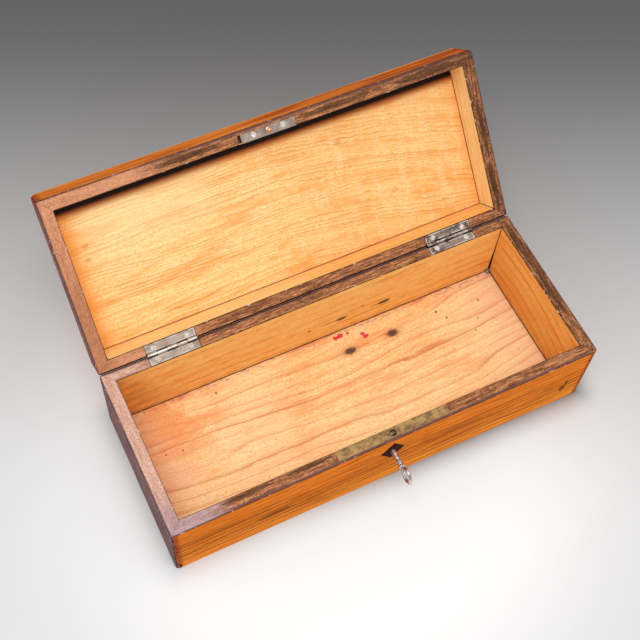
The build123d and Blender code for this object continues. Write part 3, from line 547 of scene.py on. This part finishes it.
def glue_bead(columns, rows):
    """A drop on the floor: its radius is the sine of how far up it is, lumpy round about
    by two slow waves, its height is the cosine, and the two walls press it flat."""
    turn = np.linspace(0.0, 2.0 * np.pi, columns, endpoint=False)[None, :]
    climb = np.linspace(0.0, np.pi, rows + 2)[1:-1, None]
    lumpy = 1.0 + 0.16 * np.sin(3.0 * turn + 0.6) + 0.10 * np.sin(2.0 * turn + climb)
    radius = GLUE_WIDE * np.sin(climb) ** 0.7 * lumpy
    x = np.minimum(GLUE_X + radius * np.cos(turn), INNER_X)
    y = np.minimum(GLUE_Y + radius * np.sin(turn), INNER_Y)
    z = FLOOR_Z + GLUE_HIGH * 0.5 * (1.0 - np.cos(climb))
    rings = np.stack(np.broadcast_arrays(x, y, z), axis=-1).reshape(-1, 3)
    poles = [[GLUE_X, GLUE_Y, FLOOR_Z], [GLUE_X, GLUE_Y, FLOOR_Z + GLUE_HIGH]]
    here = np.arange(columns)
    after = (here + 1) % columns
    level = (np.arange(rows - 1) * columns)[:, None]
    sides = np.stack([level + here, level + after, level + columns + after, level + columns + here], axis=-1)
    bottom, top = rows * columns, rows * columns + 1
    last = (rows - 1) * columns
    under = np.stack([after, here, np.full(columns, bottom)], axis=-1)
    over = np.stack([last + here, last + after, np.full(columns, top)], axis=-1)
    mesh = bpy.data.meshes.new("glue_bead")
    points = np.vstack([rings, poles]) / MM
    mesh.from_pydata(points.tolist(), [], sides.reshape(-1, 4).tolist() + under.tolist() + over.tolist())
    mesh.shade_smooth()
    return mesh


glue = bpy.data.objects.new("glue_bead", glue_bead(28, 14))
bpy.context.scene.collection.objects.link(glue)
material, point = start_material("set glue")
clots = point.clouds((1.2, 1.2, 1.2), 3.0, 171.0).rise(0.40, 0.62)
finish_material(material, blend(GLUE_GREY, GLUE_DARK, clots), roughness=0.40, height=clots * 0.10)
glue.data.materials.append(material)
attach(glue, "box")


# The lid: four thin mitred rails with a thin board glued over them. Its points are turned
# about the hinge line to where they are when the lid is shut, so that one rule paints both
# and the colours keep their places on the wood.
SHUT_TURN = radians(lid_hinge["range_deg"][1])
RAIL_HIGH = 26.0
LID_RIM_Z = 2.0 * HINGE_LINE.z - RIM_Z
PANEL_Z = LID_RIM_Z + RAIL_HIGH
LID_INSIDE = ((0.98, 0.58, 0.195), (0.95, 0.43, 0.095), (0.99, 0.76, 0.330))
LID_CREAM = (0.97, 0.66, 0.26)
LID_DEEP = (0.93, 0.40, 0.090)
LID_LIGHT = (0.99, 0.87, 0.48)
LID_LINE = (0.58, 0.16, 0.018)
LID_ORANGE = (0.90, 0.32, 0.050)
LID_SHADOW_UMBER = (0.38, 0.095, 0.014)
LID_SHADOW_BLACK = (0.012, 0.004, 0.002)
LID_RUBBED_SHEEN = (0.72, 0.335, 0.185)
STRIP_ORANGE = (0.80, 0.220, 0.022)
STRIP_RED = (0.36, 0.055, 0.008)
KNOT_BROWN = (0.66, 0.17, 0.025)
GLUE_RED = (0.36, 0.055, 0.020)
GAP_RED = (0.36, 0.08, 0.025)

# The panel's rings fall away by the sweep towards the right end, and a shadow of the front
# rail is painted on it, umber going to black. Knots are given by x, y and size, the rails'
# stains as the walls' are.
PANEL_HEART = (0.0, 150.0, 40.0)
SWEEP_FROM, LID_SWEEP = -30.0, 33.0
SHADOW_DARKENS, SHADOW_BLACKENS = (-47.0, -53.2), (-51.6, -55.4)
LID_KNOTS = ((63.7, -32.6, 3.0), (103.3, 24.0, 2.6), (-163.0, -22.9, 2.2), (-164.5, -11.2, 2.0))
LID_PATCHES = ((-69.0, -69.4, 30.0, 2.6), (64.0, -69.0, 35.0, 2.3), (147.0, -69.0, 33.0, 3.0),
               (184.8, -8.0, 2.4, 28.0), (184.2, 44.0, 2.9, 22.0))
LONG_RAIL_RINGS = ((0.0, 30.0, 10.0), 4.6, 5.0, 0.03)
LEFT_RAIL_RINGS = ((-179.0, 30.0, 20.0), 7.0, 6.0, 0.10)
RIGHT_RAIL_RINGS = ((179.0, 30.0, 20.0), 7.0, 6.0, 0.10)


def shut_point(point):
    """The point turned about the hinge line to its place when the lid is shut."""
    turn = Matrix.Rotation(SHUT_TURN, 3, "X")
    move = HINGE_LINE - turn @ HINGE_LINE
    places = {"Vector": point, "Location": tuple(move), "Rotation": (SHUT_TURN, 0.0, 0.0)}
    return point.node("Mapping", {"vector_type": "POINT"}, places)


def lid_colours(point, run, out, seed, rings, light_to=-80.0, black=0.15):
    """The colours of a rail of the lid: inside, outside and lower edge."""
    x, y, z = point.parts()
    inner, height = bare_inside(point, run, seed, rings, LID_INSIDE)
    right_rail = x.rise(INNER_X - 3.0, INNER_X - 0.5)
    inner = blend(inner, LID_LIGHT, x.rise(40.0, -30.0) * 0.30 + right_rail * 0.36)
    broken = point.clouds((16.0, 16.0, 2.0), 3.0, seed + 15.0).rise(0.36, 0.60)
    inner = blend(inner, GLUE_RED, z.rise(PANEL_Z - 1.1, PANEL_Z - 0.5) * (0.45 + 0.55 * broken))

    fibres, pores = hair_grain(point, run, seed + 4.0)
    mottle = point.clouds(along(run, 60.0, 6.0), 3.0, seed + 2.0)
    outer = blend(STRIP_ORANGE, STRIP_RED, mottle.rise(0.42, 0.62) * 0.6 + x.rise(-60.0, 40.0) * 0.3)
    outer = blend(outer, VARNISH_STREAK, (1.0 - fibres) * 0.30 + pores * 0.2)
    outer = left_side(outer, point, seed + 12.0)
    corner = (abs(x) + abs(y)).rise(HALF_LENGTH + HALF_DEPTH - 7.0, HALF_LENGTH + HALF_DEPTH - 3.5)
    outer = blend(outer, VARNISH_RED, corner * 0.7)
    outer = blend(outer, SEAM_AND_SHADE_BLACK, z.rise(LID_RIM_Z + 0.9, LID_RIM_Z + 0.3) * 0.8)

    # Rubbed wood with a painted sheen on the edge, paler towards the left.
    cloud = point.clouds((20.0, 20.0, 20.0), 2.0, seed + 5.0) * 60.0 - 30.0
    pale = (x + cloud).rise(light_to, light_to - 40.0)
    rim = rim_colour(point, run, out, LID_RUBBED_SHEEN, pale, black, seed + 11.0)
    rim = blend(rim, RIM_BROWN, x.rise(-168.0, -182.0) * y.rise(-50.0, 10.0) * 0.40)
    rim = blend(rim, RIM_DARK, x.rise(60.0, 170.0) * y.rise(-50.0, -62.0) * 0.34)
    rim = blend(rim, RIM_PATCH, patches(point, LID_PATCHES, seed + 13.0) * 0.82)
    return inner, outer, rim, height


def left_rail_colours(point, run, out, seed, rings):
    """The left rail's edge is paler along its whole length: rubbed, with a painted sheen."""
    return lid_colours(point, run, out, seed, rings, 0.0, 0.075)


def rail_finish(name, run, seed, colours, rings):
    """A rail's finish: a board's, upside down, in the place where it is when shut."""
    return board_finish(name, run, seed, colours, rings, shut_point, LID_RIM_Z, -1.0)


dress(rail_finish("lid front rail wood", "X", 61.0, lid_colours, LONG_RAIL_RINGS), "lid_front_rail")
dress(rail_finish("lid back rail wood", "X", 73.0, lid_colours, LONG_RAIL_RINGS), "lid_back_rail")
dress(rail_finish("lid left rail wood", "Y", 87.0, left_rail_colours, LEFT_RAIL_RINGS), "lid_left_rail")
dress(rail_finish("lid right rail wood", "Y", 97.0, lid_colours, RIGHT_RAIL_RINGS), "lid_right_rail")

material, point = start_material("lid top wood")
point = shut_point(point)
x, y, z = point.parts()
figure = point.clouds((8.0, 30.0, 10.0), 3.0, 103.0)
curl = (figure - 0.5) * (4.0 * x.rise(-60.0, 20.0))
swept = ((x - SWEEP_FROM) / (INNER_X - SWEEP_FROM)).most(0.0) ** 2.0 * LID_SWEEP
bent = point - (swept + curl) * (0.0, 1.0, 0.0)
ripple_late, ripple = growth_rings(bent, "X", PANEL_HEART, 2.8, 22.0, 101.0)
broad_late, broad = growth_rings(bent, "X", PANEL_HEART, 14.0, 22.0, 101.0)
fibres, pores = hair_grain(bent, "X", 104.0)
mottle = bent.clouds((46.0, 12.0, 10.0), 4.0, 105.0)
grit = point.clouds((2.0, 1.4, 1.4), 3.0, 107.0)
shimmer = figure.rise(0.46, 0.64) * x.rise(-60.0, 50.0)
inner = blend(LID_CREAM, LID_DEEP, mottle.rise(0.44, 0.64) * 0.85)
inner = blend(inner, LID_LIGHT, fibres * 0.45 + shimmer * 0.30)
inner = blend(inner, LID_DEEP, grit.rise(0.46, 0.62) * 0.50)
inner = blend(inner, LID_LINE, ripple_late * 0.30 + ripple * 0.62)
inner = blend(inner, LID_LINE, broad_late * 0.18 + broad * 0.16 + pores * 0.22)
inner = blend(inner, LID_LIGHT, x.band(-110.0, 40.0, 30.0) * y.rise(10.0, -30.0) * 0.34)
reddened = x.rise(-160.0, -179.0) * 0.70 + x.rise(-40.0, 50.0) * 0.22 + x.rise(168.0, 179.0) * 0.26
inner = blend(inner, LID_ORANGE, reddened)
for at_x, at_y, size in LID_KNOTS:
    inner = blend(inner, KNOT_BROWN, spot(point, at_x, at_y, size, at_x) * 0.40)
# Painted shadow of the front rail across the panel: umber, and black nearest the rail.
inner = blend(inner, LID_SHADOW_UMBER, y.rise(*SHADOW_DARKENS) * 0.95)
inner = blend(inner, LID_SHADOW_BLACK, y.rise(*SHADOW_BLACKENS))
inner = blend(inner, GAP_RED, beyond_inside(point).rise(-0.9, -0.3))
outer = varnished_outside(point, "X", y * 0.5 + 30.0, 109.0)
colour = blend(inner, outer, z.rise(PANEL_Z + 0.3, PANEL_Z + 1.0))
finish_material(material, colour, roughness=0.55, height=fibres * 0.03 - ripple * 0.02, gloss=0.10)
dress(material, "lid_top")


# The brass: two butt hinges on steel pins, and the lid's plate with the pin for the lock,
# all let into the top edges and screwed. The faces are scratched and dull, the screw heads
# rubbed bright, the leaves' edges given a painted highlight, and the left hinge is brighter
# than the right.
HINGE_TONES = {"left": ((0.64, 0.52, 0.43), (0.46, 0.35, 0.27), (0.12, 0.08, 0.065)),
               "right": ((0.42, 0.32, 0.26), (0.17, 0.115, 0.09), (0.035, 0.022, 0.018))}
HINGE_TARNISH = {"left": (9.0, 111.0), "right": (7.0, 115.0)}
PLATE_TONES = ((0.50, 0.41, 0.36), (0.34, 0.26, 0.22), (0.09, 0.06, 0.05))
SCREW_TONES = ((0.92, 0.84, 0.78), (0.66, 0.57, 0.50), (0.10, 0.075, 0.06))
PIN_TONES = ((0.90, 0.52, 0.34), (0.55, 0.27, 0.15), (0.16, 0.07, 0.04))
EDGE_HIGHLIGHT = (0.88, 0.80, 0.74)
EDGE_DARK = (0.02, 0.014, 0.014)
KNUCKLE_REACH = 2.0


def old_metal(name, tones, size, seed, metallic=0.9, roughness=(0.28, 0.45), inset=None):
    """Worn metal: clouds of tarnish, fine scratches and small dark pits, in its bright, dull
    and dark tones. The inset, where it has one, is how far a point lies inside the outline,
    which is dark at the very edge and has a painted highlight beside it."""
    material, point = start_material(name)
    bright, dull, dark = tones
    tarnish = point.clouds((size, size, size), 3.0, seed)
    scratches = point.clouds((8.0, 0.9, 0.9), 3.0, seed + 1.0)
    pits = point.clouds((1.5, 1.2, 1.2), 3.0, seed + 2.0)
    colour = blend(bright, dull, tarnish.rise(0.36, 0.64))
    colour = blend(colour, bright, scratches.rise(0.54, 0.68) * 0.5)
    colour = blend(colour, dark, pits.rise(0.58, 0.70) * 0.6)
    if inset:
        inside = inset(point)
        # A painted highlight beside the edge, and a dark line at the edge itself.
        colour = blend(colour, EDGE_HIGHLIGHT, inside.band(1.0, 0.25, 0.35) * tarnish.rise(0.62, 0.45) * 0.8)
        colour = blend(colour, EDGE_DARK, inside.rise(0.65, 0.35) * 0.9)
    low, high = roughness
    height = scratches * 0.02 - pits.rise(0.58, 0.72) * 0.04
    finish_material(material, colour, low + (high - low) * tarnish, height, metallic)
    return material


def leaf_inset(node, place):
    """How far inside the three free edges of a hinge leaf a point lies, or how far from the
    corner where it runs up into its knuckles."""
    low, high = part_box(node)
    middle, half, free = (low.x + high.x) * MM / 2.0, (high.x - low.x) * MM / 2.0, low.y * MM

    def inset(point):
        placed = place(point)
        y = placed.part("Y")
        inside = (half - abs(placed.part("X") - middle)).least(y - free)
        return inside.least(abs(y - (HINGE_LINE.y - KNUCKLE_REACH)) + 0.1)
    return inset


for side, tones in HINGE_TONES.items():
    size, seed = HINGE_TARNISH[side]
    for half, place in (("base", stay), ("lid", shut_point)):
        inset = leaf_inset(side + "_hinge_base_leaf", place)
        leaf_brass = old_metal(side + " " + half + " leaf brass", tones, size, seed, inset=inset)
        dress(leaf_brass, side + "_hinge_" + half + "_leaf")
dress(old_metal("lid plate brass", PLATE_TONES, 8.0, 118.0), "lid_plate")
screw_brass = old_metal("screw brass", SCREW_TONES, 2.0, 121.0, 0.95, (0.18, 0.40))
dress(screw_brass, "base_hinge_screws", "lid_hinge_screws", "lid_plate_screws")
dress(old_metal("pin brass", PIN_TONES, 1.6, 125.0, 0.95, (0.15, 0.35)), "lid_pin")


# The lock: a brass case cut into the front wall, its long top plate mottled olive and gold,
# with a steel drill pin, filed brass works and dark steel screws, and the nails below.
LOCK_TONES = ((0.48, 0.290, 0.105), (0.22, 0.120, 0.052), (0.06, 0.035, 0.022))
WORKS_TONES = ((0.80, 0.62, 0.34), (0.60, 0.45, 0.22), (0.20, 0.15, 0.08))
STEEL_TONES = ((0.42, 0.40, 0.38), (0.22, 0.20, 0.19), (0.06, 0.045, 0.04))
dress(old_metal("lock brass", LOCK_TONES, 5.0, 131.0, 0.65, (0.40, 0.60)), "lock_plate", "lock_cap")
dress(old_metal("works brass", WORKS_TONES, 3.0, 135.0), "lock_bolt", "bolt_stumps")
STEEL_PIECES = ("bottom_nails", "left_hinge_pin", "right_hinge_pin", "lock_screws", "cap_screws",
                "bolt_spring")
dress(old_metal("dull steel", STEEL_TONES, 2.5, 141.0), *STEEL_PIECES)


# The key, forged of steel with a pipe for a shank, and the pin in the lock that it turns on.
# Its steel is worn silvery in places and brown in others, in clouds.
KEY_TONES = ((0.74, 0.66, 0.65), (0.36, 0.27, 0.26), (0.07, 0.035, 0.03))
dress(old_metal("key steel", KEY_TONES, 3.4, 151.0, 1.0, (0.20, 0.40)), "key", "drill_pin")


# The escutcheon: a small diamond of blackened hardwood round the keyhole. It is let into the
# front wall flush and glued.
BLACKENED = (0.012, 0.004, 0.003)
BLACKENED_BROWN = (0.075, 0.016, 0.008)
material, point = start_material("blackened wood")
fibres = point.clouds((8.0, 0.8, 0.8), 2.0, 161.0)
colour = blend(BLACKENED, BLACKENED_BROWN, fibres.rise(0.40, 0.65))
finish_material(material, colour, roughness=0.60, height=fibres * 0.03, gloss=0.02)
dress(material, "escutcheon")


# The box stands on a broad sheet of pale paper, painted to fall into grey behind it.
# A pool of light is painted on it in front, a soft shadow close round the foot of the box,
# and a cooler tint where the wood throws its orange light on it. For the light that it
# throws back it is evenly pale.
PAPER = 0.80
PAPER_LIGHT = 1.06
PAPER_COOL = (0.950, 1.07, 1.12)
ACROSS = (0.4151, 0.9098, 0.0)
GREY_FROM, GREY_TO = 481.0, -134.0
GREY_LOW, GREY_GAIN = 0.130, 0.618
GLOW_PLACE = (-32.0, -25.0, 0.0)
GLOW_OUT, GLOW_IN, GLOW_GAIN = 298.0, 145.0, 0.219
FOOT_REACH, FOOT_SHADE, FOOT_MORE = 25.0, 0.24, 0.38
DIRECT_RAYS = ("Is Camera Ray", "Is Glossy Ray", "Is Transmission Ray")


def floor_sheet(reach, cells):
    """A flat sheet: x and y run evenly over a square grid and z stays 0."""
    line = np.linspace(-reach, reach, cells + 1)
    x, y = np.meshgrid(line, line, indexing="ij")
    points = np.stack([x, y, np.zeros_like(x)], axis=-1).reshape(-1, 3)
    corner = (np.arange(cells)[:, None] * (cells + 1) + np.arange(cells)).reshape(-1)
    faces = np.stack([corner, corner + cells + 1, corner + cells + 2, corner + 1], axis=1)
    mesh = bpy.data.meshes.new("floor")
    mesh.from_pydata(points.tolist(), [], faces.tolist())
    return mesh


floor = bpy.data.objects.new("floor", floor_sheet(6.0, 8))
bpy.context.scene.collection.objects.link(floor)
material, point = start_material("floor paper")
x, y = point.part("X"), point.part("Y")
away = point.node("VectorMath", {"operation": "DOT_PRODUCT"}, {0: point, 1: ACROSS}, "Value")
tone = GREY_LOW + GREY_GAIN * away.rise(GREY_FROM, GREY_TO)
# A pool of light painted on the paper in front of the box.
tone = tone + GLOW_GAIN * (point - GLOW_PLACE).length().rise(GLOW_OUT, GLOW_IN)
beside_x = (abs(x) - HALF_LENGTH).most(0.0)
beside_y = (abs(y) - HALF_DEPTH).most(0.0)
foot = (beside_x ** 2.0 + beside_y ** 2.0) ** 0.5
# A shadow painted on the paper close round the foot of the box, deeper to the right.
shade = (1.0 - foot / FOOT_REACH).most(0.0) ** 2.0
depth = FOOT_SHADE + FOOT_MORE * x.rise(-120.0, 60.0)
tone = tone * (1.0 - depth * shade) / PAPER_LIGHT
# A cooler tint painted where the wood throws its orange light on the paper.
warmed = foot.rise(85.0, 5.0) * y.rise(-20.0, -90.0) * x.band(-10.0, 110.0, 90.0)
cooled = blend((1.0, 1.0, 1.0), PAPER_COOL, warmed) * tone
seen = sum(point.node("LightPath", {}, {}, ray) for ray in DIRECT_RAYS)
finish_material(material, blend((PAPER,) * 3, cooled, seen), roughness=0.9, height=0.0, gloss=0.0)
floor.data.materials.append(material)


# The studio: even white light from all round, and one square soft lamp high over the front
# left that faces the box.
ROUND_LIGHT = 0.85
LAMP_PLACE, LAMP_SIZE, LAMP_POWER = (-0.30, -0.38, 1.60), 0.80, 9.5
LAMP_AIM = (0.0, 0.0, 0.08)
world = bpy.data.worlds.new("studio")
bpy.context.scene.world = world
world.use_nodes = True
background = world.node_tree.nodes["Background"]
background.inputs["Color"].default_value = (1.0, 1.0, 1.0, 1.0)
background.inputs["Strength"].default_value = ROUND_LIGHT
lamp = bpy.data.objects.new("key lamp", bpy.data.lights.new("key lamp", "AREA"))
lamp.data.size = LAMP_SIZE
lamp.data.energy = LAMP_POWER
facing = (Vector(LAMP_AIM) - Vector(LAMP_PLACE)).to_track_quat("-Z", "Y")
lamp.matrix_world = Matrix.Translation(LAMP_PLACE) @ facing.to_matrix().to_4x4()
bpy.context.scene.collection.objects.link(lamp)


# The camera stands to the left of the front and looks steeply down through a longish lens.
# Its turn is counted from the front, and its tilt from straight down.
CAMERA_PLACE = (-0.2554, -0.3678, 0.9309)
CAMERA_TURN, CAMERA_TILT, CAMERA_ROLL = -30.971, 29.487, 5.654
CAMERA_LENS, CAMERA_SENSOR = 66.73, 36.0
camera = bpy.data.objects.new("camera", bpy.data.cameras.new("camera"))
camera.data.sensor_width = CAMERA_SENSOR
camera.data.lens = CAMERA_LENS
camera.data.clip_start = 0.01
turned = Matrix.Rotation(radians(CAMERA_TURN), 4, "Z") @ Matrix.Rotation(radians(CAMERA_TILT), 4, "X")
rolled = turned @ Matrix.Rotation(radians(CAMERA_ROLL), 4, "Z")
camera.matrix_world = Matrix.Translation(CAMERA_PLACE) @ rolled
bpy.context.scene.collection.objects.link(camera)
bpy.context.scene.camera = camera
bpy.context.scene.view_settings.view_transform = "Standard"
